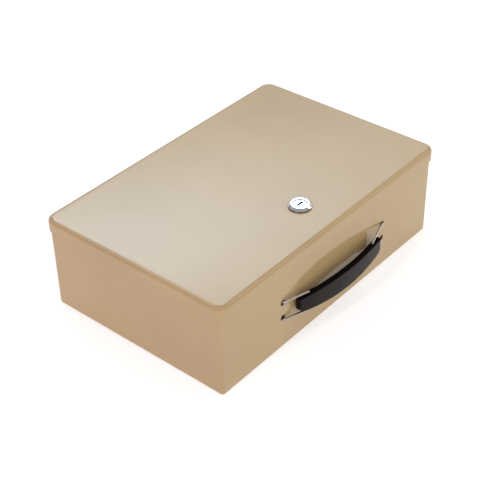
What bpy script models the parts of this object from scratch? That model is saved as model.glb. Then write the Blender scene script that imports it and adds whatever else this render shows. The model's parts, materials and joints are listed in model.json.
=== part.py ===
"""Fireproof document box: a double-walled steel case with board insulation, a hinged lid with a
cam lock, and a carrying handle hung on two wire links. Metres, +Z up. The origin is the centre
of the case's base; +X runs along the front to the right and the front, with the handle, faces -Y."""

import math

import bmesh
import bpy
from mathutils import Vector

# Outside sizes
CASE_LENGTH = 0.3176
CASE_DEPTH = 0.2066
LID_LENGTH = 0.3250
LID_DEPTH = 0.2141
HEIGHT = 0.0993
SKIRT_HEIGHT = 0.0131

# Sheet, insulation and the gap kept between neighbouring pieces
SHEET = 0.0009
BOARD = 0.0114
BOARD_EDGE = 0.0010
GAP = 0.0003
WALL = SHEET + GAP + BOARD + GAP + SHEET

# Corner and edge radii of the pressed sheets
CASE_CORNER = 0.0025
CASE_EDGE = 0.0015
LID_CORNER = 0.0115
LID_EDGE = 0.0040
LINER_CORNER = 0.0060
LINER_EDGE = 0.0030
LID_FLANGE_CORNER = 0.0080

# Heights worked out from the sizes above
RIM_GAP = 0.0004
RIM_Z = HEIGHT - SHEET - GAP - SHEET - RIM_GAP
SHELL_TOP_Z = RIM_Z - SHEET - GAP
FLOOR_Z = WALL
SKIRT_Z = HEIGHT - SKIRT_HEIGHT
LID_FLANGE_Z = RIM_Z + RIM_GAP
PAN_DROP = 0.0079
PAN_Z = LID_FLANGE_Z - PAN_DROP

# Front and back planes
FRONT_Y = -CASE_DEPTH / 2
BACK_Y = CASE_DEPTH / 2
LINER_HALF_X = CASE_LENGTH / 2 - WALL
LINER_HALF_Y = CASE_DEPTH / 2 - WALL
PAN_HALF_X = LINER_HALF_X - 0.0010
PAN_FRONT_Y = -LINER_HALF_Y + 0.0010
PAN_BACK_Y = LINER_HALF_Y - 0.0050

# Piano hinge behind the case, under the back of the skirt. The lid's rivets stand between the
# case's, so that their heads pass when the lid is folded back.
HINGE_Y = 0.1059
HINGE_Z = SKIRT_Z - 0.0027
KNUCKLE_RADIUS = 0.0019
KNUCKLE_COUNT = 10
KNUCKLE_PITCH = 0.0280
HINGE_LENGTH = KNUCKLE_COUNT * KNUCKLE_PITCH
HINGE_PIN_RADIUS = 0.0010
HINGE_BORE_RADIUS = 0.0012
HINGE_PIN_OVERHANG = 0.0008
LEAF_LOW_Z = HINGE_Z - 0.0162
LEAF_HIGH_Z = RIM_Z - 0.0005
CASE_RIVET_XS = (-0.1120, -0.0560, 0.0560, 0.1120)
LID_RIVET_XS = (-0.1260, -0.0420, 0.0420, 0.1260)
CASE_RIVET_Z = HINGE_Z - 0.0092
LID_RIVET_Z = SKIRT_Z + 0.0049

# Rivets
RIVET_SHANK = 0.0015
RIVET_HOLE = 0.0018
RIVET_HEAD = 0.0027
RIVET_HEAD_HEIGHT = 0.0008
RIVET_TAIL = 0.0023
RIVET_TAIL_HEIGHT = 0.0006
RIVETED_STACK = SHEET + GAP + SHEET
RIVET_POCKET = 0.0030
POCKET_REACH = 0.0020

# Cam lock in the lid
LOCK_X = -0.0025
LOCK_Y = -0.0652
FLANGE_RADIUS = 0.01125
FLANGE_HEIGHT = 0.0031
FLANGE_SLOPE = 0.0024
FLANGE_LIP = 0.0015
FLANGE_ROUND = 0.0004
BARREL_RADIUS = 0.0093
BARREL_FLAT = 0.0081
BARREL_LOW_Z = HEIGHT - 0.0200
PLUG_RADIUS = 0.0065
PLUG_BORE = 0.0067
PLUG_ROUND = 0.0006
PLUG_TOP_Z = HEIGHT + 0.0028
PLUG_LOW_Z = BARREL_LOW_Z - 0.0010
KEYWAY_LENGTH = 0.0080
KEYWAY_WIDTH = 0.0024
KEYWAY_LOW_Z = HEIGHT - 0.0145
LOCK_HOLE = 0.0097
NUT_ACROSS_FLATS = 0.0240
NUT_HEIGHT = 0.0035
WASHER_RADIUS = 0.0126
WASHER_THICKNESS = 0.0005
TAIL_HALF = 0.0032
TAIL_LOW_Z = PLUG_LOW_Z - 0.0024
CAM_THICKNESS = 0.0016
CAM_TOP_Z = PLUG_LOW_Z - 0.0004
CAM_REACH = 0.0220
CAM_HALF_WIDTH = 0.0070
SCREW_RADIUS = 0.0016
SCREW_HOLE = 0.0019
SCREW_HEAD_RADIUS = 0.0048
SCREW_HEAD_HEIGHT = 0.0020
SCREW_TOP_Z = HEIGHT - 0.0165

# Wafers in the plug, each a plate with a side lug that a small spring pushes
WAFER_COUNT = 5
WAFER_PITCH = 0.0024
WAFER_TOP_Z = HEIGHT - 0.0020
WAFER_THICKNESS = 0.0008
WAFER_SLOT = 0.0012
WAFER_HALF_WIDTH = 0.0025
WAFER_RADIUS = 0.0063
WAFER_TRAVEL = 0.0008
WAFER_WINDOW_X = 0.0036
WAFER_WINDOW_Y = 0.0015
SLIDE_GAP = 0.0002
LUG_LOW_X = -0.0014
LUG_HIGH_X = 0.0004
LUG_Y = 0.0043
SPRING_LENGTH = 0.0032
SPRING_RADIUS = 0.0006
SPRING_WIRE = 0.00014
SPRING_TURNS = 3.5
SPRING_Y = 0.0034

# Strike for the cam, riveted to the liner's front wall
STRIKE_HALF_X = 0.0110
STRIKE_LOW_Z = CAM_TOP_Z + 0.0004
STRIKE_HIGH_Z = PAN_Z - 0.0012
STRIKE_END_Y = -0.0795
STRIKE_RIVET_X = 0.0070
STRIKE_RIVET_Z = PAN_Z - 0.0055

# Handle: wire links hooked into the front, and a bowed grip between them. Half spacings are
# measured from the handle's middle, and the grip rests swung a little, left end in. The wires
# lie off the middles of their holes: left of them, and up in the upper and down in the lower.
HANDLE_X = 0.0007
REST_SWING = math.radians(2.5)
WIRE_RADIUS = 0.0011
WIRE_BEND = 0.0018
HOOK_X = 0.0768
HOOK_HIGH_Z = 0.0527
HOOK_LOW_Z = 0.0326
HOOK_HOLE = 0.0031
HOOK_PLAY_X = 0.0008
HOOK_PLAY_Z = 0.0016
HOOK_TAIL_DEPTH = 0.0026
HOOK_TAIL_LENGTH = 0.0042
HOOK_STANDOFF = 0.0012
PIN_X = 0.0476
PIN_STANDOFF = 0.0084
PIN_UNDER_GAP = 0.0006
POCKET_HALF_X = 0.0060
POCKET_DEPTH = 0.0045
POCKET_LOW_Z = 0.0255
POCKET_HIGH_Z = 0.0597
GRIP_HALF_LENGTH = 0.0605
GRIP_THICKNESS = 0.0058
GRIP_STANDOFF = 0.0152
GRIP_BOW = 0.0061
GRIP_TOP_Z = 0.0485
GRIP_LOW_Z = 0.0278
GRIP_BELLY = 0.0049
GRIP_CHAMFER = 0.0030
GRIP_EDGE = 0.0008
GRIP_SLICES = 20
PIN_HOLE = 0.0014
OPEN_PIN_HOLE = 0.0018

ROUND_STEPS = 32
SMOOTH_ANGLE = math.radians(35)
TINY = 1e-6


def clear_scene():
    for obj in list(bpy.data.objects):
        bpy.data.objects.remove(obj, do_unlink=True)


def new_collection(name):
    collection = bpy.data.collections.new(name)
    bpy.context.scene.collection.children.link(collection)
    return collection


clear_scene()
PARTS = new_collection("fireproof_document_box")
CUTTERS = new_collection("cutters")


def material(name, colour, roughness, metallic=0.0):
    made = bpy.data.materials.new(name)
    made.use_nodes = True
    shader = made.node_tree.nodes["Principled BSDF"]
    shader.inputs["Base Color"].default_value = (*colour, 1.0)
    shader.inputs["Roughness"].default_value = roughness
    shader.inputs["Metallic"].default_value = metallic
    return made


ENAMEL = material("tan_enamel", (0.50, 0.37, 0.23), 0.25)
LINER_PAINT = material("liner_enamel", (0.45, 0.34, 0.22), 0.45)
BOARD_FILL = material("insulation_board", (0.72, 0.69, 0.62), 0.95)
CHROME = material("chrome", (0.80, 0.81, 0.82), 0.12, 1.0)
ZINC = material("zinc_steel", (0.58, 0.57, 0.54), 0.35, 1.0)
WIRE = material("nickel_wire", (0.66, 0.60, 0.54), 0.22, 1.0)
BRASS = material("brass", (0.65, 0.47, 0.20), 0.30, 1.0)
GRIP_PLASTIC = material("grip_plastic", (0.035, 0.028, 0.028), 0.45)


def empty(name, location, parent=None):
    axis = bpy.data.objects.new(name, None)
    axis.empty_display_size = 0.01
    PARTS.objects.link(axis)
    put(axis, location, parent)
    return axis


def put(obj, location, parent=None):
    """Places an object at a world position, under a parent that isn't turned."""
    obj.parent = parent
    obj.location = Vector(location)
    while parent is not None:
        obj.location -= parent.location
        parent = parent.parent
    return obj


def add_object(name, data, look, location=(0, 0, 0), parent=None):
    obj = bpy.data.objects.new(name, data)
    if look is None:
        CUTTERS.objects.link(obj)
        obj.hide_render = True
        obj.display_type = "WIRE"
    else:
        PARTS.objects.link(obj)
        obj.data.materials.append(look)
    return put(obj, location, parent)


def from_bmesh(name, bm, look, location=(0, 0, 0), parent=None):
    mesh = bpy.data.meshes.new(name)
    bm.to_mesh(mesh)
    bm.free()
    mesh.shade_smooth()
    mesh.set_sharp_from_angle(angle=SMOOTH_ANGLE)
    return add_object(name, mesh, look, location, parent)


def boxes_mesh(spans):
    """A bmesh with one cube for each (low corner, high corner)."""
    bm = bmesh.new()
    for low, high in spans:
        low, high = Vector(low), Vector(high)
        made = bmesh.ops.create_cube(bm, size=1.0)["verts"]
        bmesh.ops.scale(bm, vec=high - low, verts=made)
        bmesh.ops.translate(bm, vec=(high + low) / 2, verts=made)
    return bm


def box(name, low, high, look=None, parent=None):
    low, high = Vector(low), Vector(high)
    centre = (low + high) / 2
    return from_bmesh(name, boxes_mesh([(low - centre, high - centre)]), look, centre, parent)


def rod(name, radius, low, high, look=None, parent=None, steps=ROUND_STEPS):
    """A plain cylinder from one point to another."""
    low, high = Vector(low), Vector(high)
    bm = bmesh.new()
    bmesh.ops.create_cone(
        bm, cap_ends=True, segments=steps, radius1=radius, radius2=radius, depth=(high - low).length
    )
    made = from_bmesh(name, bm, look, (low + high) / 2, parent)
    made.rotation_mode = "QUATERNION"
    made.rotation_quaternion = (high - low).to_track_quat("Z", "Y")
    return made


def boolean(obj, cutter, operation="DIFFERENCE"):
    modifier = obj.modifiers.new(cutter.name, "BOOLEAN")
    modifier.operation = operation
    modifier.solver = "EXACT"
    modifier.object = cutter
    return modifier


def solidify(obj, thickness, offset):
    modifier = obj.modifiers.new("sheet", "SOLIDIFY")
    modifier.thickness = thickness
    modifier.offset = offset
    modifier.use_even_offset = True
    return modifier


def bevel(obj, width, segments=2):
    modifier = obj.modifiers.new("edges", "BEVEL")
    modifier.width = width
    modifier.segments = segments
    modifier.limit_method = "ANGLE"
    modifier.angle_limit = math.radians(40)
    return modifier


def turned(name, profile, look, location, parent=None, closed=False, steps=ROUND_STEPS):
    """A profile of (radius, height) points, listed down the outer side, turned about Z."""
    bm = bmesh.new()
    points = [bm.verts.new((radius, 0.0, height)) for radius, height in profile]
    for first, second in zip(points, points[1:]):
        bm.edges.new((first, second))
    if closed:
        bm.edges.new((points[-1], points[0]))
    obj = from_bmesh(name, bm, look, location, parent)
    screw = obj.modifiers.new("turn", "SCREW")
    screw.steps = steps
    screw.render_steps = steps
    screw.use_merge_vertices = True
    screw.merge_threshold = 0.00001
    screw.use_smooth_shade = True
    return obj


def plate(name, outlines, thickness, look, location, parent=None):
    """A flat plate in the XY plane; the outlines after the first are its holes."""
    curve = bpy.data.curves.new(name, "CURVE")
    curve.dimensions = "2D"
    curve.fill_mode = "BOTH"
    curve.extrude = thickness / 2
    for outline in outlines:
        spline = curve.splines.new("POLY")
        spline.points.add(len(outline) - 1)
        for point, (x, y) in zip(spline.points, outline):
            point.co = (x, y, 0.0, 1.0)
        spline.use_cyclic_u = True
    return add_object(name, curve, look, location, parent)


def wire(name, points, radius, look, parent=None, resolution=3, location=(0, 0, 0)):
    """A round wire through the points, with filled ends."""
    curve = bpy.data.curves.new(name, "CURVE")
    curve.dimensions = "3D"
    curve.bevel_depth = radius
    curve.bevel_resolution = resolution
    curve.use_fill_caps = True
    spline = curve.splines.new("POLY")
    spline.points.add(len(points) - 1)
    for point, place in zip(spline.points, points):
        point.co = (*place, 1.0)
    return add_object(name, curve, look, location, parent)


def circle(radius, steps=ROUND_STEPS, start=0.0, turn=2 * math.pi):
    closed = abs(turn) > 2 * math.pi - TINY
    count = steps if closed else steps + 1
    return [
        (radius * math.cos(start + turn * i / steps), radius * math.sin(start + turn * i / steps))
        for i in range(count)
    ]


def rectangle(half_x, half_y):
    return [(half_x, half_y), (-half_x, half_y), (-half_x, -half_y), (half_x, -half_y)]


def rounded_path(corners, radius, steps=4):
    """The path through the corners, with each inner corner turned on an arc."""
    corners = [Vector(corner) for corner in corners]
    path = [corners[0]]
    for before, corner, after in zip(corners, corners[1:], corners[2:]):
        into = (corner - before).normalized()
        out = (after - corner).normalized()
        angle = into.angle(out)
        if angle < math.radians(2):
            path.append(corner)
            continue
        reach = radius * math.tan(angle / 2)
        centre = corner + (out - into).normalized() * radius / math.cos(angle / 2)
        start = corner - into * reach - centre
        for i in range(steps + 1):
            turn = angle * i / steps
            along = start * math.cos(turn) + into * radius * math.sin(turn)
            path.append(centre + along)
    path.append(corners[-1])
    return path


def pressed_tray(name, half_x, y_range, z_range, corner, edge, look, open_top=True, parent=None,
                 flange=None):
    """The open surface of a pressed sheet box: one face, four walls, rounded corners, and where
    flange gives (half x, half y, radius) a flat rim out to that outline."""
    size = Vector((2 * half_x, y_range[1] - y_range[0], z_range[1] - z_range[0]))
    centre = Vector((0.0, sum(y_range) / 2, sum(z_range) / 2))
    open_z = size.z / 2 if open_top else -size.z / 2
    bm = bmesh.new()
    bmesh.ops.create_cube(bm, size=1.0)
    bmesh.ops.scale(bm, vec=size, verts=bm.verts)
    mouth = [face for face in bm.faces if abs(face.calc_center_median().z - open_z) < TINY]
    bmesh.ops.delete(bm, geom=mouth, context="FACES_ONLY")
    uprights = [e for e in bm.edges if abs(e.verts[0].co.z - e.verts[1].co.z) > TINY]
    bmesh.ops.bevel(bm, geom=uprights, offset=corner, segments=5, profile=0.5, affect="EDGES")
    floor_edges = [e for e in bm.edges if all(abs(v.co.z + open_z) < TINY for v in e.verts)]
    bmesh.ops.bevel(bm, geom=floor_edges, offset=edge, segments=3, profile=0.5, affect="EDGES")
    if flange:
        rim = [e for e in bm.edges if all(abs(v.co.z - open_z) < TINY for v in e.verts)]
        made = bmesh.ops.extrude_edge_only(bm, edges=rim)["geom"]
        for vert in (item for item in made if isinstance(item, bmesh.types.BMVert)):
            flange_x, flange_y, flange_radius = flange
            side_x = math.copysign(1.0, vert.co.x)
            side_y = math.copysign(1.0, vert.co.y)
            arc_x = side_x * (size.x / 2 - corner)
            arc_y = side_y * (size.y / 2 - corner)
            toward = Vector((vert.co.x - arc_x, vert.co.y - arc_y)) / corner
            vert.co.x = side_x * (flange_x - flange_radius) + toward.x * flange_radius
            vert.co.y = side_y * (flange_y - flange_radius) + toward.y * flange_radius - centre.y
    return from_bmesh(name, bm, look, centre, parent)


def case_shell():
    shell = pressed_tray(
        "case_shell", CASE_LENGTH / 2, (FRONT_Y, BACK_Y), (0.0, SHELL_TOP_Z),
        CASE_CORNER, CASE_EDGE, ENAMEL,
    )
    solidify(shell, SHEET, -1)
    levels = (("upper", HOOK_HIGH_Z - HOOK_PLAY_Z), ("lower", HOOK_LOW_Z + HOOK_PLAY_Z))
    for side, hook_x in (("left", -HOOK_X), ("right", HOOK_X)):
        x = HANDLE_X + HOOK_PLAY_X + hook_x
        for level, z in levels:
            hole = rod(
                f"hook_hole_{level}_{side}", HOOK_HOLE,
                (x, FRONT_Y - SHEET, z), (x, FRONT_Y + 3 * SHEET, z), steps=20,
            )
            boolean(shell, hole)
    for number, x in enumerate(CASE_RIVET_XS, 1):
        hole = rod(
            f"case_rivet_hole_{number}", RIVET_HOLE,
            (x, BACK_Y - 3 * SHEET, CASE_RIVET_Z), (x, BACK_Y + 3 * SHEET, CASE_RIVET_Z), steps=16,
        )
        boolean(shell, hole)
        boolean(bpy.data.objects["hinge_leaf_case"], hole)


def case_liner():
    liner = pressed_tray(
        "case_liner", LINER_HALF_X, (-LINER_HALF_Y, LINER_HALF_Y), (FLOOR_Z, RIM_Z),
        LINER_CORNER, LINER_EDGE, LINER_PAINT,
        flange=(CASE_LENGTH / 2 - GAP, CASE_DEPTH / 2 - GAP, CASE_CORNER),
    )
    solidify(liner, SHEET, 1)
    for side, x in (("left", LOCK_X - STRIKE_RIVET_X), ("right", LOCK_X + STRIKE_RIVET_X)):
        hole = rod(
            f"strike_rivet_hole_{side}", RIVET_HOLE,
            (x, -LINER_HALF_Y - 3 * SHEET, STRIKE_RIVET_Z),
            (x, -LINER_HALF_Y + 3 * SHEET, STRIKE_RIVET_Z), steps=16,
        )
        boolean(liner, hole)
        boolean(bpy.data.objects["latch_strike"], hole)


def insulation_boards():
    inner_x = CASE_LENGTH / 2 - SHEET - GAP
    inner_y = CASE_DEPTH / 2 - SHEET - GAP
    base_z = SHEET + GAP
    wall_z = base_z + BOARD + GAP
    top_z = SHELL_TOP_Z - GAP
    side_y = inner_y - BOARD - GAP
    spans = {
        "insulation_base": ((-inner_x, -inner_y, base_z), (inner_x, inner_y, base_z + BOARD)),
        "insulation_front": ((-inner_x, -inner_y, wall_z), (inner_x, -inner_y + BOARD, top_z)),
        "insulation_back": ((-inner_x, inner_y - BOARD, wall_z), (inner_x, inner_y, top_z)),
        "insulation_left": ((-inner_x, -side_y, wall_z), (-inner_x + BOARD, side_y, top_z)),
        "insulation_right": ((inner_x - BOARD, -side_y, wall_z), (inner_x, side_y, top_z)),
    }
    for name, (low, high) in spans.items():
        bevel(box(name, low, high, BOARD_FILL), BOARD_EDGE, 1)
    front = bpy.data.objects["insulation_front"]
    for side, x in (("left", HANDLE_X - HOOK_X), ("right", HANDLE_X + HOOK_X)):
        pocket = box(
            f"hook_pocket_{side}",
            (x - POCKET_HALF_X, FRONT_Y, POCKET_LOW_Z),
            (x + POCKET_HALF_X, FRONT_Y + SHEET + POCKET_DEPTH, POCKET_HIGH_Z),
        )
        boolean(front, pocket)
    for side, x in (("left", LOCK_X - STRIKE_RIVET_X), ("right", LOCK_X + STRIKE_RIVET_X)):
        pocket = rod(
            f"strike_tail_pocket_{side}", RIVET_POCKET,
            (x, -side_y - POCKET_REACH, STRIKE_RIVET_Z), (x, -side_y + POCKET_REACH, STRIKE_RIVET_Z),
            steps=16,
        )
        boolean(front, pocket)
    back = bpy.data.objects["insulation_back"]
    for number, x in enumerate(CASE_RIVET_XS, 1):
        pocket = rod(
            f"hinge_tail_pocket_{number}", RIVET_POCKET,
            (x, inner_y - POCKET_REACH, CASE_RIVET_Z), (x, inner_y + POCKET_REACH, CASE_RIVET_Z),
            steps=16,
        )
        boolean(back, pocket)


def hinge_leaf(name, y_range, z_range, own_knuckles, look, parent=None):
    """A flat leaf with rolled knuckles on the hinge axis, notched where the other leaf's are."""
    half = HINGE_LENGTH / 2
    leaf = box(name, (-half, y_range[0], z_range[0]), (half, y_range[1], z_range[1]), look, parent)
    axis = ((-half, HINGE_Y, HINGE_Z), (half, HINGE_Y, HINGE_Z))
    boolean(leaf, rod(f"{name}_roll", KNUCKLE_RADIUS, *axis, steps=20), "UNION")
    bore_ends = [(1.1 * x, y, z) for x, y, z in axis]
    boolean(leaf, rod(f"{name}_bore", HINGE_BORE_RADIUS, *bore_ends, steps=20))
    clear = KNUCKLE_RADIUS + GAP
    notches = []
    for knuckle in range(KNUCKLE_COUNT):
        if knuckle % 2 == own_knuckles:
            continue
        low_x = -half + knuckle * KNUCKLE_PITCH
        low_x -= GAP / 2 if knuckle else 2 * GAP
        high_x = -half + (knuckle + 1) * KNUCKLE_PITCH
        high_x += GAP / 2 if knuckle < KNUCKLE_COUNT - 1 else 2 * GAP
        notches.append((
            (low_x, HINGE_Y - 2 * clear, HINGE_Z - clear),
            (high_x, HINGE_Y + 2 * clear, HINGE_Z + clear),
        ))
    boolean(leaf, from_bmesh(f"{name}_notches", boxes_mesh(notches), None))
    return leaf


def rivet_profile():
    """Tail, shank and domed head, listed from the head's centre down."""
    head_low = RIVETED_STACK + GAP
    dome = [
        (RIVET_HEAD * math.sin(a), head_low + RIVET_HEAD_HEIGHT * math.cos(a))
        for a in (math.radians(step) for step in (0, 30, 60, 90))
    ]
    return dome + [
        (RIVET_SHANK, head_low),
        (RIVET_SHANK, -GAP),
        (RIVET_TAIL, -GAP),
        (RIVET_TAIL, -GAP - RIVET_TAIL_HEIGHT),
        (0.0, -GAP - RIVET_TAIL_HEIGHT),
    ]


def rivet(name, location, parent=None):
    """A rivet whose head faces +Y and whose stack starts at the location."""
    made = turned(name, rivet_profile(), ZINC, location, parent, steps=16)
    made.rotation_euler.x = -math.pi / 2
    return made


def hinge(lid_axis):
    hinge_leaf(
        "hinge_leaf_case", (BACK_Y + GAP, BACK_Y + GAP + SHEET), (LEAF_LOW_Z, HINGE_Z), 0, ENAMEL
    )
    skirt_inner_y = LID_DEPTH / 2 - SHEET
    hinge_leaf(
        "hinge_leaf_lid", (skirt_inner_y - GAP - SHEET, skirt_inner_y - GAP),
        (HINGE_Z, LEAF_HIGH_Z), 1, ENAMEL, lid_axis,
    )
    half = HINGE_LENGTH / 2 + HINGE_PIN_OVERHANG
    rod("hinge_pin", HINGE_PIN_RADIUS, (-half, HINGE_Y, HINGE_Z), (half, HINGE_Y, HINGE_Z), ZINC,
        steps=16)
    for number, x in enumerate(CASE_RIVET_XS, 1):
        rivet(f"case_rivet_{number}", (x, BACK_Y - SHEET, CASE_RIVET_Z))
    for number, x in enumerate(LID_RIVET_XS, 1):
        rivet(f"lid_rivet_{number}", (x, skirt_inner_y - GAP - SHEET, LID_RIVET_Z), lid_axis)


def latch_strike():
    """An angle whose tab reaches in over the turned cam."""
    plate_y = -LINER_HALF_Y + GAP
    profile = ((plate_y, STRIKE_HIGH_Z), (plate_y, STRIKE_LOW_Z), (STRIKE_END_Y, STRIKE_LOW_Z))
    bm = bmesh.new()
    ends = []
    for x in (LOCK_X - STRIKE_HALF_X, LOCK_X + STRIKE_HALF_X):
        ends.append([bm.verts.new((x, y, z)) for y, z in profile])
    for i in range(len(profile) - 1):
        bm.faces.new((ends[0][i], ends[0][i + 1], ends[1][i + 1], ends[1][i]))
    strike = from_bmesh("latch_strike", bm, ZINC)
    solidify(strike, SHEET, -1)
    for side, x in (("left", LOCK_X - STRIKE_RIVET_X), ("right", LOCK_X + STRIKE_RIVET_X)):
        rivet(f"strike_rivet_{side}", (x, -LINER_HALF_Y - SHEET, STRIKE_RIVET_Z))


def lid(lid_axis):
    shell = pressed_tray(
        "lid_shell", LID_LENGTH / 2, (-LID_DEPTH / 2, LID_DEPTH / 2), (SKIRT_Z, HEIGHT),
        LID_CORNER, LID_EDGE, ENAMEL, open_top=False, parent=lid_axis,
    )
    solidify(shell, SHEET, -1)
    liner = pressed_tray(
        "lid_liner", PAN_HALF_X, (PAN_FRONT_Y, PAN_BACK_Y), (PAN_Z, LID_FLANGE_Z),
        LINER_CORNER, LINER_EDGE, LINER_PAINT, parent=lid_axis,
        flange=(CASE_LENGTH / 2 - GAP, CASE_DEPTH / 2 - GAP, LID_FLANGE_CORNER),
    )
    solidify(liner, SHEET, -1)
    side = SHEET + 2 * GAP
    board = box(
        "insulation_lid",
        (-PAN_HALF_X + side, PAN_FRONT_Y + side, PAN_Z + SHEET + GAP),
        (PAN_HALF_X - side, PAN_BACK_Y - side, HEIGHT - SHEET - GAP), BOARD_FILL, lid_axis,
    )
    bevel(board, LINER_EDGE, 1)
    hole = rod(
        "lock_hole", LOCK_HOLE,
        (LOCK_X, LOCK_Y, PAN_Z - SHEET), (LOCK_X, LOCK_Y, HEIGHT + SHEET),
    )
    for piece in (shell, liner, board):
        boolean(piece, hole)
    for number, x in enumerate(LID_RIVET_XS, 1):
        hole = rod(
            f"lid_rivet_hole_{number}", RIVET_HOLE,
            (x, LID_DEPTH / 2 - 4 * SHEET, LID_RIVET_Z), (x, LID_DEPTH / 2 + SHEET, LID_RIVET_Z),
            steps=16,
        )
        boolean(shell, hole)
        boolean(bpy.data.objects["hinge_leaf_lid"], hole)


def wafer_heights():
    return [WAFER_TOP_Z - i * WAFER_PITCH for i in range(WAFER_COUNT)]


def lock_housing(lid_axis):
    """A flanged barrel with two flats; four grooves in its bore take the wafers' ends."""
    top = HEIGHT + GAP + FLANGE_HEIGHT
    profile = (
        (FLANGE_RADIUS - FLANGE_SLOPE, top),
        (FLANGE_RADIUS - FLANGE_ROUND, HEIGHT + GAP + FLANGE_LIP),
        (FLANGE_RADIUS, HEIGHT + GAP + FLANGE_LIP - FLANGE_ROUND),
        (FLANGE_RADIUS, HEIGHT + GAP),
        (BARREL_RADIUS, HEIGHT + GAP),
        (BARREL_RADIUS, BARREL_LOW_Z),
        (PLUG_BORE, BARREL_LOW_Z),
        (PLUG_BORE, top),
    )
    centre = Vector((LOCK_X, LOCK_Y, 0))
    housing = turned("lock_housing", profile, CHROME, centre, lid_axis, closed=True)
    reach = 2 * BARREL_RADIUS
    low_z, high_z = BARREL_LOW_Z - SHEET, HEIGHT - SHEET
    flats = boxes_mesh([
        ((-reach, side * BARREL_FLAT, low_z), (reach, side * reach, high_z)) for side in (-1, 1)
    ])
    bmesh.ops.recalc_face_normals(flats, faces=flats.faces)
    boolean(housing, from_bmesh("barrel_flats", flats, None, centre))
    deep = PLUG_RADIUS + WAFER_TRAVEL + 2 * SLIDE_GAP
    wide = WAFER_HALF_WIDTH + GAP
    low_z = wafer_heights()[-1] - WAFER_SLOT
    high_z = wafer_heights()[0] + WAFER_SLOT
    for name, half_x, half_y in (("x", deep, wide), ("y", wide, deep)):
        groove = box(
            f"wafer_groove_{name}",
            (LOCK_X - half_x, LOCK_Y - half_y, low_z), (LOCK_X + half_x, LOCK_Y + half_y, high_z),
        )
        boolean(housing, groove)


def lock_fixings(lid_axis):
    washer_z = PAN_Z - GAP - WASHER_THICKNESS / 2
    plate(
        "lock_washer", [circle(WASHER_RADIUS), circle(LOCK_HOLE)], WASHER_THICKNESS, ZINC,
        (LOCK_X, LOCK_Y, washer_z), lid_axis,
    )
    nut_z = PAN_Z - 2 * GAP - WASHER_THICKNESS - NUT_HEIGHT / 2
    hexagon = circle(NUT_ACROSS_FLATS / math.sqrt(3), 6, math.pi / 6)
    plate(
        "lock_nut", [hexagon, circle(LOCK_HOLE)], NUT_HEIGHT, ZINC, (LOCK_X, LOCK_Y, nut_z), lid_axis
    )


def lock_plug(turn_axis):
    """The turning core: keyway, wafer slots with spring pockets, and a square tail for the cam."""
    profile = (
        (0.0, PLUG_TOP_Z),
        (PLUG_RADIUS - PLUG_ROUND, PLUG_TOP_Z),
        (PLUG_RADIUS, PLUG_TOP_Z - PLUG_ROUND),
        (PLUG_RADIUS, PLUG_LOW_Z),
        (0.0, PLUG_LOW_Z),
    )
    plug = turned("lock_plug", profile, CHROME, (LOCK_X, LOCK_Y, 0), turn_axis)
    tail = box(
        "plug_tail",
        (LOCK_X - TAIL_HALF, LOCK_Y - TAIL_HALF, TAIL_LOW_Z),
        (LOCK_X + TAIL_HALF, LOCK_Y + TAIL_HALF, KEYWAY_LOW_Z),
    )
    boolean(plug, tail, "UNION")
    keyway = box(
        "keyway",
        (LOCK_X - KEYWAY_LENGTH / 2, LOCK_Y - KEYWAY_WIDTH / 2, KEYWAY_LOW_Z),
        (LOCK_X + KEYWAY_LENGTH / 2, LOCK_Y + KEYWAY_WIDTH / 2, PLUG_TOP_Z + SHEET),
    )
    boolean(plug, keyway)
    half_slot = WAFER_SLOT / 2
    half_width = WAFER_HALF_WIDTH + SLIDE_GAP
    spring_end = LUG_HIGH_X + SPRING_LENGTH + 2 * SLIDE_GAP
    for number, z in enumerate(wafer_heights(), 1):
        slot = box(
            f"wafer_slot_{number}",
            (LOCK_X - 2 * PLUG_RADIUS, LOCK_Y - half_width, z - half_slot),
            (LOCK_X + 2 * PLUG_RADIUS, LOCK_Y + half_width, z + half_slot),
        )
        boolean(plug, slot)
        pocket = box(
            f"spring_pocket_{number}",
            (LOCK_X + LUG_LOW_X - WAFER_TRAVEL - SLIDE_GAP, LOCK_Y, z - half_slot - GAP),
            (LOCK_X + spring_end, LOCK_Y + LUG_Y + SLIDE_GAP, z + half_slot + GAP),
        )
        boolean(plug, pocket)
    screw_hole = rod("screw_hole", SCREW_HOLE, (LOCK_X, LOCK_Y, TAIL_LOW_Z - SHEET),
                     (LOCK_X, LOCK_Y, SCREW_TOP_Z + GAP), steps=16)
    boolean(plug, screw_hole)


def cam_outline():
    """A lever along +X: rounded at the plug, narrower at its tip."""
    tip_half = 0.6 * CAM_HALF_WIDTH
    root = circle(CAM_HALF_WIDTH, 10, math.pi / 2, math.pi)
    tip = circle(tip_half * 0.5, 4, -math.pi / 2, math.pi / 2)
    far_x = CAM_REACH - tip_half * 0.5
    low = [(far_x + x, y - tip_half * 0.5) for x, y in tip]
    high = [(x, -y) for x, y in reversed(low)]
    return root + low + high


def cam(turn_axis):
    hole = TAIL_HALF + GAP
    plate(
        "lock_cam", [cam_outline(), rectangle(hole, hole)], CAM_THICKNESS, ZINC,
        (LOCK_X, LOCK_Y, CAM_TOP_Z - CAM_THICKNESS / 2), turn_axis,
    )
    head_top = TAIL_LOW_Z - GAP
    profile = (
        (0.0, SCREW_TOP_Z),
        (SCREW_RADIUS, SCREW_TOP_Z - SCREW_RADIUS / 2),
        (SCREW_RADIUS, head_top),
        (SCREW_HEAD_RADIUS, head_top),
        (SCREW_HEAD_RADIUS, head_top - SCREW_HEAD_HEIGHT * 0.6),
        (SCREW_HEAD_RADIUS * 0.7, head_top - SCREW_HEAD_HEIGHT),
        (0.0, head_top - SCREW_HEAD_HEIGHT),
    )
    turned("cam_screw", profile, ZINC, (LOCK_X, LOCK_Y, 0), turn_axis, steps=20)


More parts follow.
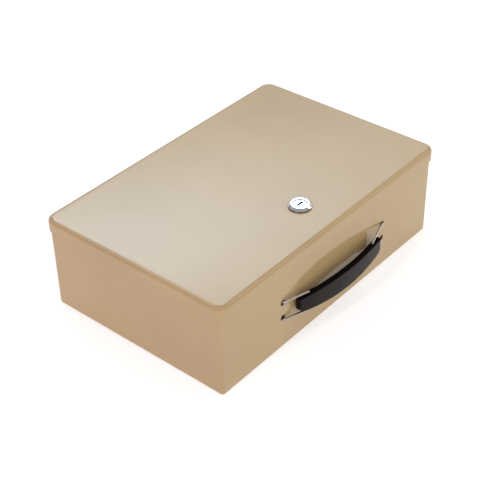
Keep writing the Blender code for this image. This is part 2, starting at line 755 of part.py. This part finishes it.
def wafer_outline():
    """Rounded ends, straight sides, and a lug on the +Y side."""
    corner = math.asin(WAFER_HALF_WIDTH / WAFER_RADIUS)
    right = circle(WAFER_RADIUS, 6, -corner, 2 * corner)
    left = circle(WAFER_RADIUS, 6, math.pi - corner, 2 * corner)
    lug = [
        (LUG_HIGH_X, WAFER_HALF_WIDTH), (LUG_HIGH_X, LUG_Y),
        (LUG_LOW_X, LUG_Y), (LUG_LOW_X, WAFER_HALF_WIDTH),
    ]
    return right + lug + left


def spring_path():
    count = round(SPRING_TURNS * 8)
    path = []
    for i in range(count + 1):
        angle = 2 * math.pi * SPRING_TURNS * i / count
        path.append((
            SPRING_LENGTH * i / count, SPRING_RADIUS * math.cos(angle), SPRING_RADIUS * math.sin(angle)
        ))
    return path


def wafers(turn_axis):
    window = rectangle(WAFER_WINDOW_X, WAFER_WINDOW_Y)
    for number, z in enumerate(wafer_heights(), 1):
        slide_axis = empty(f"wafer_axis_{number}", (LOCK_X, LOCK_Y, z), turn_axis)
        plate(
            f"wafer_{number}", [wafer_outline(), window], WAFER_THICKNESS, BRASS,
            (LOCK_X, LOCK_Y, z), slide_axis,
        )
        start = Vector((LOCK_X + LUG_HIGH_X + SPRING_WIRE + 0.0001, LOCK_Y + SPRING_Y, z))
        wire(f"wafer_spring_{number}", spring_path(), SPRING_WIRE, ZINC, turn_axis, 1, start)


def link_path(side):
    """One link's wire, relative to its hook: tail, upper leg, pin, lower leg, tail."""
    tail_y = HOOK_TAIL_DEPTH
    pin = (side * (PIN_X - HOOK_X), -PIN_STANDOFF)
    high_z = HOOK_HIGH_Z
    low_z = HOOK_LOW_Z
    pin_high = GRIP_TOP_Z + GAP + WIRE_RADIUS
    pin_low = grip_low_z(PIN_X) - PIN_UNDER_GAP - WIRE_RADIUS
    corners = [
        (0.0, tail_y, high_z + HOOK_TAIL_LENGTH),
        (0.0, tail_y, high_z),
        (0.0, -HOOK_STANDOFF, high_z),
        (pin[0], pin[1], pin_high),
        (pin[0], pin[1], pin_low),
        (0.0, -HOOK_STANDOFF, low_z),
        (0.0, tail_y, low_z),
        (0.0, tail_y, low_z - HOOK_TAIL_LENGTH),
    ]
    return rounded_path(corners, WIRE_BEND)


def grip_low_z(x):
    return GRIP_LOW_Z + GRIP_BELLY * (x / GRIP_HALF_LENGTH) ** 2


def grip(pivot):
    """A bar bowed away from the case, deeper in the middle, with cut lower corners."""
    half_thickness = GRIP_THICKNESS / 2
    bm = boxes_mesh([((-GRIP_HALF_LENGTH, -1, -1), (GRIP_HALF_LENGTH, 1, 1))])
    inner = GRIP_HALF_LENGTH - GRIP_CHAMFER
    stations = [inner * (2 * i / GRIP_SLICES - 1) for i in range(GRIP_SLICES + 1)]
    for x in stations:
        geometry = bm.verts[:] + bm.edges[:] + bm.faces[:]
        bmesh.ops.bisect_plane(bm, geom=geometry, plane_co=(x, 0, 0), plane_no=(1, 0, 0))
    for vert in bm.verts:
        x = vert.co.x
        middle = GRIP_STANDOFF - half_thickness - GRIP_BOW * (x / GRIP_HALF_LENGTH) ** 2
        vert.co.x = x + PIN_X
        vert.co.y = PIN_STANDOFF - middle + math.copysign(half_thickness, vert.co.y)
        if vert.co.z > 0:
            vert.co.z = 0.0
        else:
            vert.co.z = grip_low_z(x) + max(0.0, abs(x) - inner) - GRIP_TOP_Z
    pin_y = FRONT_Y - PIN_STANDOFF
    made = from_bmesh("handle_grip", bm, GRIP_PLASTIC, (HANDLE_X - PIN_X, pin_y, GRIP_TOP_Z), pivot)
    bevel(made, GRIP_EDGE, 2)
    for side, pin_x, radius in (("left", -PIN_X, PIN_HOLE), ("right", PIN_X, OPEN_PIN_HOLE)):
        x = HANDLE_X + pin_x
        hole = rod(f"pin_hole_{side}", radius, (x, pin_y, 0.5 * GRIP_LOW_Z),
                   (x, pin_y, 1.2 * GRIP_TOP_Z), parent=pivot, steps=20)
        boolean(made, hole)


def handle():
    """Built square to the case, then swung: as both links turn one way, the grip turns back."""
    axes = {}
    for name, side in (("left", -1), ("right", 1)):
        hook = (HANDLE_X + side * HOOK_X, FRONT_Y, 0)
        axes[name] = empty(f"{name}_link_axis", hook)
        wire(f"handle_link_{name}", link_path(side), WIRE_RADIUS, WIRE, axes[name], 4, hook)
    pivot = empty("grip_axis", (HANDLE_X - PIN_X, FRONT_Y - PIN_STANDOFF, 0), axes["left"])
    grip(pivot)
    grip_turn = (HOOK_X - PIN_X) / PIN_X
    for axis in axes.values():
        axis.rotation_euler.z = REST_SWING
    pivot.rotation_euler.z = -(1 + grip_turn) * REST_SWING


def main():
    lid_axis = empty("lid_axis", (0, HINGE_Y, HINGE_Z))
    turn_axis = empty("lock_axis", (LOCK_X, LOCK_Y, HEIGHT), lid_axis)
    hinge(lid_axis)
    latch_strike()
    case_shell()
    case_liner()
    insulation_boards()
    lid(lid_axis)
    lock_housing(lid_axis)
    lock_fixings(lid_axis)
    lock_plug(turn_axis)
    cam(turn_axis)
    wafers(turn_axis)
    handle()


main()
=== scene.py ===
"""Looks of the fireproof document box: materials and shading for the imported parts, a pale floor, soft
light and the camera. Metres, +Z up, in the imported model's frame."""

import json
import math

import bmesh
import bpy
from mathutils import Matrix, Vector

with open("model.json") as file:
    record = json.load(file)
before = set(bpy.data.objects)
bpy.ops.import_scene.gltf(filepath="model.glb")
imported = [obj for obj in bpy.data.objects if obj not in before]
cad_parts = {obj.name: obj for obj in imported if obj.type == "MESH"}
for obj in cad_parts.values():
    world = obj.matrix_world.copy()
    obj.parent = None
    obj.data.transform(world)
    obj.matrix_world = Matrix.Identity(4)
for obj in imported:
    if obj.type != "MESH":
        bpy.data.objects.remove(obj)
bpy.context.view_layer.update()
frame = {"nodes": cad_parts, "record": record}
NODES = frame["nodes"]
SCENE = bpy.context.scene

# Camera
CAMERA_PLACE = (-0.7110, -0.6053, 0.7209)
CAMERA_RIGHT = (0.64375, -0.76499, -0.01929)
CAMERA_UP = (0.46546, 0.37144, 0.80336)
CAMERA_BACK = (-0.60740, -0.52614, 0.59519)
CAMERA_LENS = 88.79
CAMERA_SENSOR = 36.0

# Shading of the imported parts
SMOOTH_ANGLE = math.radians(35)
WELD = 0.000002
FACE_WEIGHT = 100
# Painted shade for the plated parts: the colour that slots and gaps darken to.
RECESS_SHADE = (0.030, 0.024, 0.022)

# Floor
FLOOR_HALF = 9.0
FLOOR_DROP = 0.0002
FLOOR_GLOW = 0.5

# Sky: brightness from straight down (0) through the horizon (0.5) to straight up (1)
SKY_STRENGTH = 0.52
SKY_STOPS = ((0.0, 0.7), (0.47, 0.8), (0.5, 1.55), (0.57, 1.45), (0.66, 0.8), (1.0, 0.8))

# The panel behind the box that the lid mirrors, and the soft spot on it
AIM = (0.0, 0.0, 0.05)
BACK_WAY = (0.6170, 0.5382, 0.5743)
BACK_DISTANCE = 5.0
BACK_SIZE = (3.2, 2.4)
SPOT_CENTRE = (2.393, 3.167, 3.215)
SPOT_ACROSS = (-0.442, 0.422, 0.092)
SPOT_UP = (-0.700, -1.068, 1.545)
SPOT_RIM = (1.01, 1.01, 0.90)
SPOT_CORE = (3.10, 3.95, 4.85)

# Other lights: name, direction from the box, distance, size, watts, colour, seen in gloss
LIGHTS = (
    ("fill_panel", (-0.98, -0.10, 0.22), 1.7, (1.0, 1.0), 1.9, (1.0, 0.10, 0.70), False),
    ("top_panel", (-0.05, 0.53, 0.84), 2.4, (1.6, 0.8), 6.8, (1.0, 1.0, 1.0), True),
    ("left_lamp", (-0.72, -0.03, 0.60), 1.6, (0.14, 0.14), 5.0, (1.0, 0.86, 0.92), True),
    ("right_lamp", (-0.12, -0.76, 0.62), 1.6, (0.14, 0.14), 5.0, (1.0, 1.0, 1.0), True),
    ("edge_panel", (0.64, -0.36, 0.56), 1.5, (0.5, 1.7), 3.9, (1.0, 1.0, 1.0), True),
)


def camera():
    data = bpy.data.cameras.new("camera")
    data.lens = CAMERA_LENS
    data.sensor_width = CAMERA_SENSOR
    data.clip_start = 0.01
    obj = bpy.data.objects.new("camera", data)
    SCENE.collection.objects.link(obj)
    turn = Matrix((CAMERA_RIGHT, CAMERA_UP, CAMERA_BACK)).transposed()
    obj.matrix_world = Matrix.Translation(CAMERA_PLACE) @ turn.to_quaternion().to_matrix().to_4x4()
    SCENE.camera = obj


camera()


class Surface:
    """A node material being built around one Principled shader."""

    def __init__(self, name, colour, roughness, metallic=0.0, **sockets):
        self.material = bpy.data.materials.new(name)
        self.material.use_nodes = True
        self.tree = self.material.node_tree
        self.shader = self.tree.nodes["Principled BSDF"]
        self.place = self.tree.nodes.new("ShaderNodeTexCoord").outputs["Object"]
        self.shader.inputs["Base Color"].default_value = (*colour, 1.0)
        self.shader.inputs["Roughness"].default_value = roughness
        self.shader.inputs["Metallic"].default_value = metallic
        for socket, value in sockets.items():
            self.shader.inputs[socket.replace("_", " ")].default_value = value

    def node(self, kind, inputs=None, **settings):
        made = self.tree.nodes.new(kind)
        for name, value in settings.items():
            setattr(made, name, value)
        for socket, value in (inputs or {}).items():
            if isinstance(value, bpy.types.NodeSocket):
                self.tree.links.new(value, made.inputs[socket])
            else:
                made.inputs[socket].default_value = value
        return made

    def stretched(self, scale):
        """The object's coordinates, stretched for grain that runs one way."""
        return self.node("ShaderNodeMapping", {"Vector": self.place, "Scale": scale}).outputs[0]

    def noise(self, scale, detail=2.0, rough=0.5, place=None):
        inputs = {"Vector": place or self.place, "Scale": scale, "Detail": detail, "Roughness": rough}
        return self.node("ShaderNodeTexNoise", inputs).outputs["Fac"]

    def cells(self, scale, output="Distance"):
        inputs = {"Vector": self.place, "Scale": scale}
        return self.node("ShaderNodeTexVoronoi", inputs).outputs[output]

    def between(self, value, low, high, out_low=0.0, out_high=1.0):
        inputs = {
            "Value": value, "From Min": low, "From Max": high, "To Min": out_low, "To Max": out_high,
        }
        return self.node("ShaderNodeMapRange", inputs).outputs["Result"]

    def maths(self, operation, first, second=0.0):
        return self.node("ShaderNodeMath", {0: first, 1: second}, operation=operation).outputs[0]

    def blend(self, amount, first, second):
        made = self.node("ShaderNodeMix", data_type="RGBA")
        factor, colour_a, colour_b = made.inputs[0], made.inputs[6], made.inputs[7]
        for socket, value in ((factor, amount), (colour_a, first), (colour_b, second)):
            if isinstance(value, bpy.types.NodeSocket):
                self.tree.links.new(value, socket)
            else:
                socket.default_value = value if isinstance(value, float) else (*value, 1.0)
        return made.outputs[2]

    def edges(self, radius, low, high):
        """1 along outer and inner edges, 0 on flats."""
        rounded = self.node("ShaderNodeBevel", {"Radius": radius}, samples=6).outputs[0]
        flat = self.node("ShaderNodeNewGeometry").outputs["Normal"]
        dot = self.node("ShaderNodeVectorMath", {0: rounded, 1: flat}, operation="DOT_PRODUCT")
        return self.between(dot.outputs["Value"], high, low)

    def recesses(self, reach, low, high):
        """1 deep in slots and gaps, 0 on open faces."""
        openness = self.node("ShaderNodeAmbientOcclusion", {"Distance": reach}, samples=8).outputs["AO"]
        return self.between(openness, high, low)

    def bumps(self, *layers, soften=0.0):
        """Each layer is (height, depth in metres); soften is the radius that edges are shaded with."""
        normal = None
        if soften:
            normal = self.node("ShaderNodeBevel", {"Radius": soften}, samples=8).outputs[0]
        for height, depth in layers:
            inputs = {"Height": height, "Distance": depth, "Strength": 1.0}
            if normal is not None:
                inputs["Normal"] = normal
            normal = self.node("ShaderNodeBump", inputs).outputs[0]
        self.tree.links.new(normal, self.shader.inputs["Normal"])

    def set(self, socket, value):
        self.tree.links.new(value, self.shader.inputs[socket])


def enamel(name, colour, roughness, peel):
    """Baked gloss enamel on pressed steel: fine orange peel, slow ripples, a little handling haze, and
    a painted highlight: lighter colour along the edges, in patches.
    """
    made = Surface(name, colour, roughness, IOR=1.5)
    dark = tuple(0.93 * c for c in colour)
    light = tuple(min(1.0, 1.06 * c) for c in colour)
    warm = (colour[0] * 1.03, colour[1] * 0.985, colour[2] * 0.94)
    slow = made.between(made.noise(9.0, 3.0), 0.3, 0.7)
    tone = made.blend(slow, dark, light)
    tone = made.blend(made.between(made.noise(3.5, 2.0), 0.35, 0.65, 0.0, 0.7), tone, warm)
    fleck = made.between(made.noise(2600.0, 1.0), 0.42, 0.62, 0.0, 0.10)
    tone = made.blend(fleck, tone, tuple(0.7 * c for c in colour))
    # Painted highlight: the colour is lighter along the edges, in patches.
    edge_highlight = made.maths("MULTIPLY", made.edges(0.0012, 0.80, 0.97), made.between(
        made.noise(60.0, 4.0, 0.65), 0.45, 0.75, 0.0, 0.35))
    tone = made.blend(edge_highlight, tone, tuple(min(1.0, 1.25 * c + 0.03) for c in colour))
    made.set("Base Color", tone)
    haze = made.between(made.noise(22.0, 5.0, 0.6), 0.35, 0.75, roughness * 0.8, roughness * 1.35)
    made.set("Roughness", haze)
    made.bumps(
        (made.noise(650.0, 2.0, 0.5), peel), (made.noise(38.0, 1.0), 0.00005), (fleck, 0.000004)
    )
    return made.material


def board():
    made = Surface("insulation_board", (0.72, 0.69, 0.62), 0.95)
    grains = made.between(made.noise(420.0, 4.0, 0.7), 0.35, 0.7)
    tone = made.blend(grains, (0.60, 0.57, 0.50), (0.78, 0.75, 0.68))
    tone = made.blend(made.between(made.noise(14.0, 3.0), 0.4, 0.7, 0.0, 0.5), tone, (0.66, 0.60, 0.50))
    made.set("Base Color", tone)
    made.bumps((grains, 0.0003), (made.cells(900.0), 0.0001))
    return made.material


def plated(name, colour, roughness, streak, spots=0.0):
    """Plated metal: drawn or ground streaks, slight clouding, and where spots is above 0 tarnish;
    painted shade darkens slots and gaps.
    """
    made = Surface(name, colour, roughness, 1.0)
    cloud = made.between(made.noise(45.0, 4.0, 0.6), 0.35, 0.7)
    tone = made.blend(cloud, tuple(0.86 * c for c in colour), colour)
    if spots:
        stain = made.between(made.noise(310.0, 5.0, 0.7), 0.56, 0.72, 0.0, spots)
        tone = made.blend(stain, tone, tuple(0.45 * c for c in colour))
    # Painted shade: ambient occlusion darkens the colour deep in slots and gaps.
    made.set("Base Color", made.blend(made.recesses(0.004, 0.45, 0.90), tone, RECESS_SHADE))
    lines = made.noise(900.0, 3.0, 0.6, made.stretched(streak))
    made.set("Roughness", made.between(
        made.maths("ADD", lines, cloud), 0.6, 1.6, roughness * 0.7, roughness * 1.5))
    made.bumps((lines, 0.000012), (made.noise(160.0, 2.0), 0.00001))
    return made.material


def spangled():
    """Zinc-plated steel with faint crystals."""
    made = Surface("zinc_steel", (0.58, 0.57, 0.54), 0.35, 1.0)
    cell = made.cells(420.0, "Color")
    grey = made.node("ShaderNodeRGBToBW", {"Color": cell}).outputs[0]
    tone = made.blend(grey, (0.47, 0.46, 0.44), (0.66, 0.65, 0.62))
    dull = made.between(made.noise(120.0, 5.0, 0.7), 0.5, 0.75, 0.0, 0.6)
    tone = made.blend(dull, tone, (0.40, 0.37, 0.30))
    made.set("Base Color", tone)
    made.set("Roughness", made.between(grey, 0.0, 1.0, 0.26, 0.48))
    made.bumps((grey, 0.00002), (made.noise(500.0, 3.0), 0.00002))
    return made.material


def moulded():
    """Dark brown-black moulded plastic with a fine dull grain; painted highlights along the edges, and
    painted shade: faces turned upwards are darker, and also less shiny.
    """
    made = Surface("grip_plastic", (0.032, 0.024, 0.024), 0.42, Specular_Tint=(1.0, 0.84, 0.82, 1.0))
    tone = made.blend(
        made.between(made.noise(35.0, 4.0), 0.3, 0.7), (0.007, 0.003, 0.003), (0.012, 0.006, 0.006)
    )
    # Painted highlight: the colour is lighter along the edges, in patches.
    edge_highlight = made.maths("MULTIPLY", made.edges(0.0008, 0.82, 0.97), made.between(
        made.noise(90.0, 4.0, 0.6), 0.4, 0.7, 0.1, 0.5))
    tone = made.blend(edge_highlight, tone, (0.030, 0.024, 0.023))
    # Painted shade: faces that turn upwards get a darker colour; the same mask also lowers their
    # specular level.
    rounded = made.node("ShaderNodeBevel", {"Radius": 0.0035}, samples=8).outputs[0]
    upward = made.node("ShaderNodeSeparateXYZ", {"Vector": rounded}).outputs["Z"]
    top_shade_and_matt = made.between(upward, 0.15, 0.50)
    made.set("Base Color", made.blend(top_shade_and_matt, tone, (0.0035, 0.0025, 0.0020)))
    made.set("Specular IOR Level", made.between(top_shade_and_matt, 0.0, 1.0, 0.13, 0.02))
    made.set("Roughness", made.between(made.noise(70.0, 5.0, 0.65), 0.3, 0.7, 0.30, 0.46))
    made.bumps((made.noise(1500.0, 2.0, 0.5), 0.00003), (made.noise(120.0, 1.0), 0.0002), soften=0.0022)
    return made.material


LOOKS = {
    "tan_enamel": enamel("tan_enamel", (0.44, 0.315, 0.155), 0.09, 0.000005),
    "liner_enamel": enamel("liner_enamel", (0.40, 0.30, 0.165), 0.30, 0.00002),
    "insulation_board": board(),
    "chrome": plated("chrome", (0.82, 0.82, 0.83), 0.07, (1.0, 1.0, 6.0)),
    "zinc_steel": spangled(),
    "nickel_wire": plated("nickel_wire", (0.48, 0.41, 0.39), 0.24, (1.0, 1.0, 1.0), 0.35),
    "brass": plated("brass", (0.65, 0.47, 0.20), 0.30, (1.0, 12.0, 1.0), 0.3),
    "grip_plastic": moulded(),
}


def dress_nodes():
    """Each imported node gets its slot's material, and shading that is smooth except at sharp edges."""
    slots = {part["node"]: part["material_slot"] for part in frame["record"]["subparts"]}
    for name, node in NODES.items():
        node.data.materials.clear()
        node.data.materials.append(LOOKS[slots[name]])
        custom = node.data.attributes.get("custom_normal")
        if custom is not None:
            node.data.attributes.remove(custom)
        node.data.polygons.foreach_set("use_smooth", [True] * len(node.data.polygons))
        edges = node.data.attributes.get("sharp_edge")
        if edges is not None:
            node.data.attributes.remove(edges)
        weld = node.modifiers.new("weld", "WELD")
        weld.merge_threshold = WELD
        split = node.modifiers.new("split", "EDGE_SPLIT")
        split.split_angle = SMOOTH_ANGLE
        flat = node.modifiers.new("flat", "WEIGHTED_NORMAL")
        flat.weight = FACE_WEIGHT
        flat.keep_sharp = True


dress_nodes()


def floor():
    bm = bmesh.new()
    bmesh.ops.create_grid(bm, x_segments=8, y_segments=8, size=FLOOR_HALF)
    mesh = bpy.data.meshes.new("floor")
    bm.to_mesh(mesh)
    bm.free()
    obj = bpy.data.objects.new("floor", mesh)
    SCENE.collection.objects.link(obj)
    obj.location.z = -FLOOR_DROP
    glow = {"Emission_Color": (1, 1, 1, 1), "Emission_Strength": FLOOR_GLOW}
    look = Surface("floor_paper", (0.7, 0.7, 0.7), 0.9, **glow)
    look.set("Base Color", look.blend(look.noise(2.0), (0.69, 0.69, 0.69), (0.71, 0.71, 0.71)))
    mesh.materials.append(look.material)


def soft_spot(data, centre, across, up, rim, core):
    """The panel is brightest around the centre: rim colour plus core colour times a soft blob, whose
    half-widths are one over the lengths of the directions across and up."""
    data.use_nodes = True
    tree = data.node_tree
    place = tree.nodes.new("ShaderNodeNewGeometry").outputs["Position"]
    away = tree.nodes.new("ShaderNodeVectorMath")
    away.operation = "SUBTRACT"
    away.inputs[1].default_value = centre
    tree.links.new(place, away.inputs[0])
    squares = []
    for way in (across, up):
        along = tree.nodes.new("ShaderNodeVectorMath")
        along.operation = "DOT_PRODUCT"
        along.inputs[1].default_value = way
        tree.links.new(away.outputs[0], along.inputs[0])
        square = tree.nodes.new("ShaderNodeMath")
        square.operation = "POWER"
        square.inputs[1].default_value = 2.0
        tree.links.new(along.outputs["Value"], square.inputs[0])
        squares.append(square.outputs[0])
    total = tree.nodes.new("ShaderNodeMath")
    total.operation = "ADD"
    for socket, square in zip(total.inputs, squares):
        tree.links.new(square, socket)
    blob = tree.nodes.new("ShaderNodeMath")
    blob.operation = "POWER"
    blob.inputs[0].default_value = 1.0 / math.e
    tree.links.new(total.outputs[0], blob.inputs[1])
    glow = tree.nodes.new("ShaderNodeVectorMath")
    glow.operation = "MULTIPLY_ADD"
    tree.links.new(blob.outputs[0], glow.inputs[0])
    glow.inputs[1].default_value = core
    glow.inputs[2].default_value = rim
    tree.links.new(glow.outputs[0], tree.nodes["Emission"].inputs["Color"])
    tree.nodes["Emission"].inputs["Strength"].default_value = 1.0


def area_light(name, direction, distance, size, power, colour, glossy):
    data = bpy.data.lights.new(name, "AREA")
    data.shape = "RECTANGLE"
    data.size, data.size_y = size
    data.energy = power
    data.color = colour
    obj = bpy.data.objects.new(name, data)
    SCENE.collection.objects.link(obj)
    way = Vector(direction).normalized()
    obj.location = Vector(AIM) + way * distance
    obj.rotation_euler = way.to_track_quat("Z", "Y").to_euler()
    obj.visible_camera = False
    obj.visible_glossy = glossy
    return data


def studio():
    world = bpy.data.worlds.new("studio")
    SCENE.world = world
    world.use_nodes = True
    tree = world.node_tree
    background = tree.nodes["Background"]
    background.inputs["Strength"].default_value = SKY_STRENGTH
    place = tree.nodes.new("ShaderNodeTexCoord").outputs["Generated"]
    split = tree.nodes.new("ShaderNodeSeparateXYZ")
    tree.links.new(place, split.inputs[0])
    ramp = tree.nodes.new("ShaderNodeValToRGB")
    while len(ramp.color_ramp.elements) < len(SKY_STOPS):
        ramp.color_ramp.elements.new(0.5)
    for element, (spot, level) in zip(ramp.color_ramp.elements, SKY_STOPS):
        element.position = spot
        element.color = (level, level, level, 1.0)
    half = tree.nodes.new("ShaderNodeMath")
    half.operation = "MULTIPLY_ADD"
    half.inputs[1].default_value = 0.5
    half.inputs[2].default_value = 0.5
    tree.links.new(split.outputs["Z"], half.inputs[0])
    tree.links.new(half.outputs[0], ramp.inputs[0])
    tree.links.new(ramp.outputs[0], background.inputs["Color"])
    white = (1.0, 1.0, 1.0)
    back_power = math.pi * BACK_SIZE[0] * BACK_SIZE[1]
    back = area_light("back_panel", BACK_WAY, BACK_DISTANCE, BACK_SIZE, back_power, white, True)
    soft_spot(back, SPOT_CENTRE, SPOT_ACROSS, SPOT_UP, SPOT_RIM, SPOT_CORE)
    for light in LIGHTS:
        area_light(*light)
    SCENE.view_settings.view_transform = "Standard"


floor()
studio()
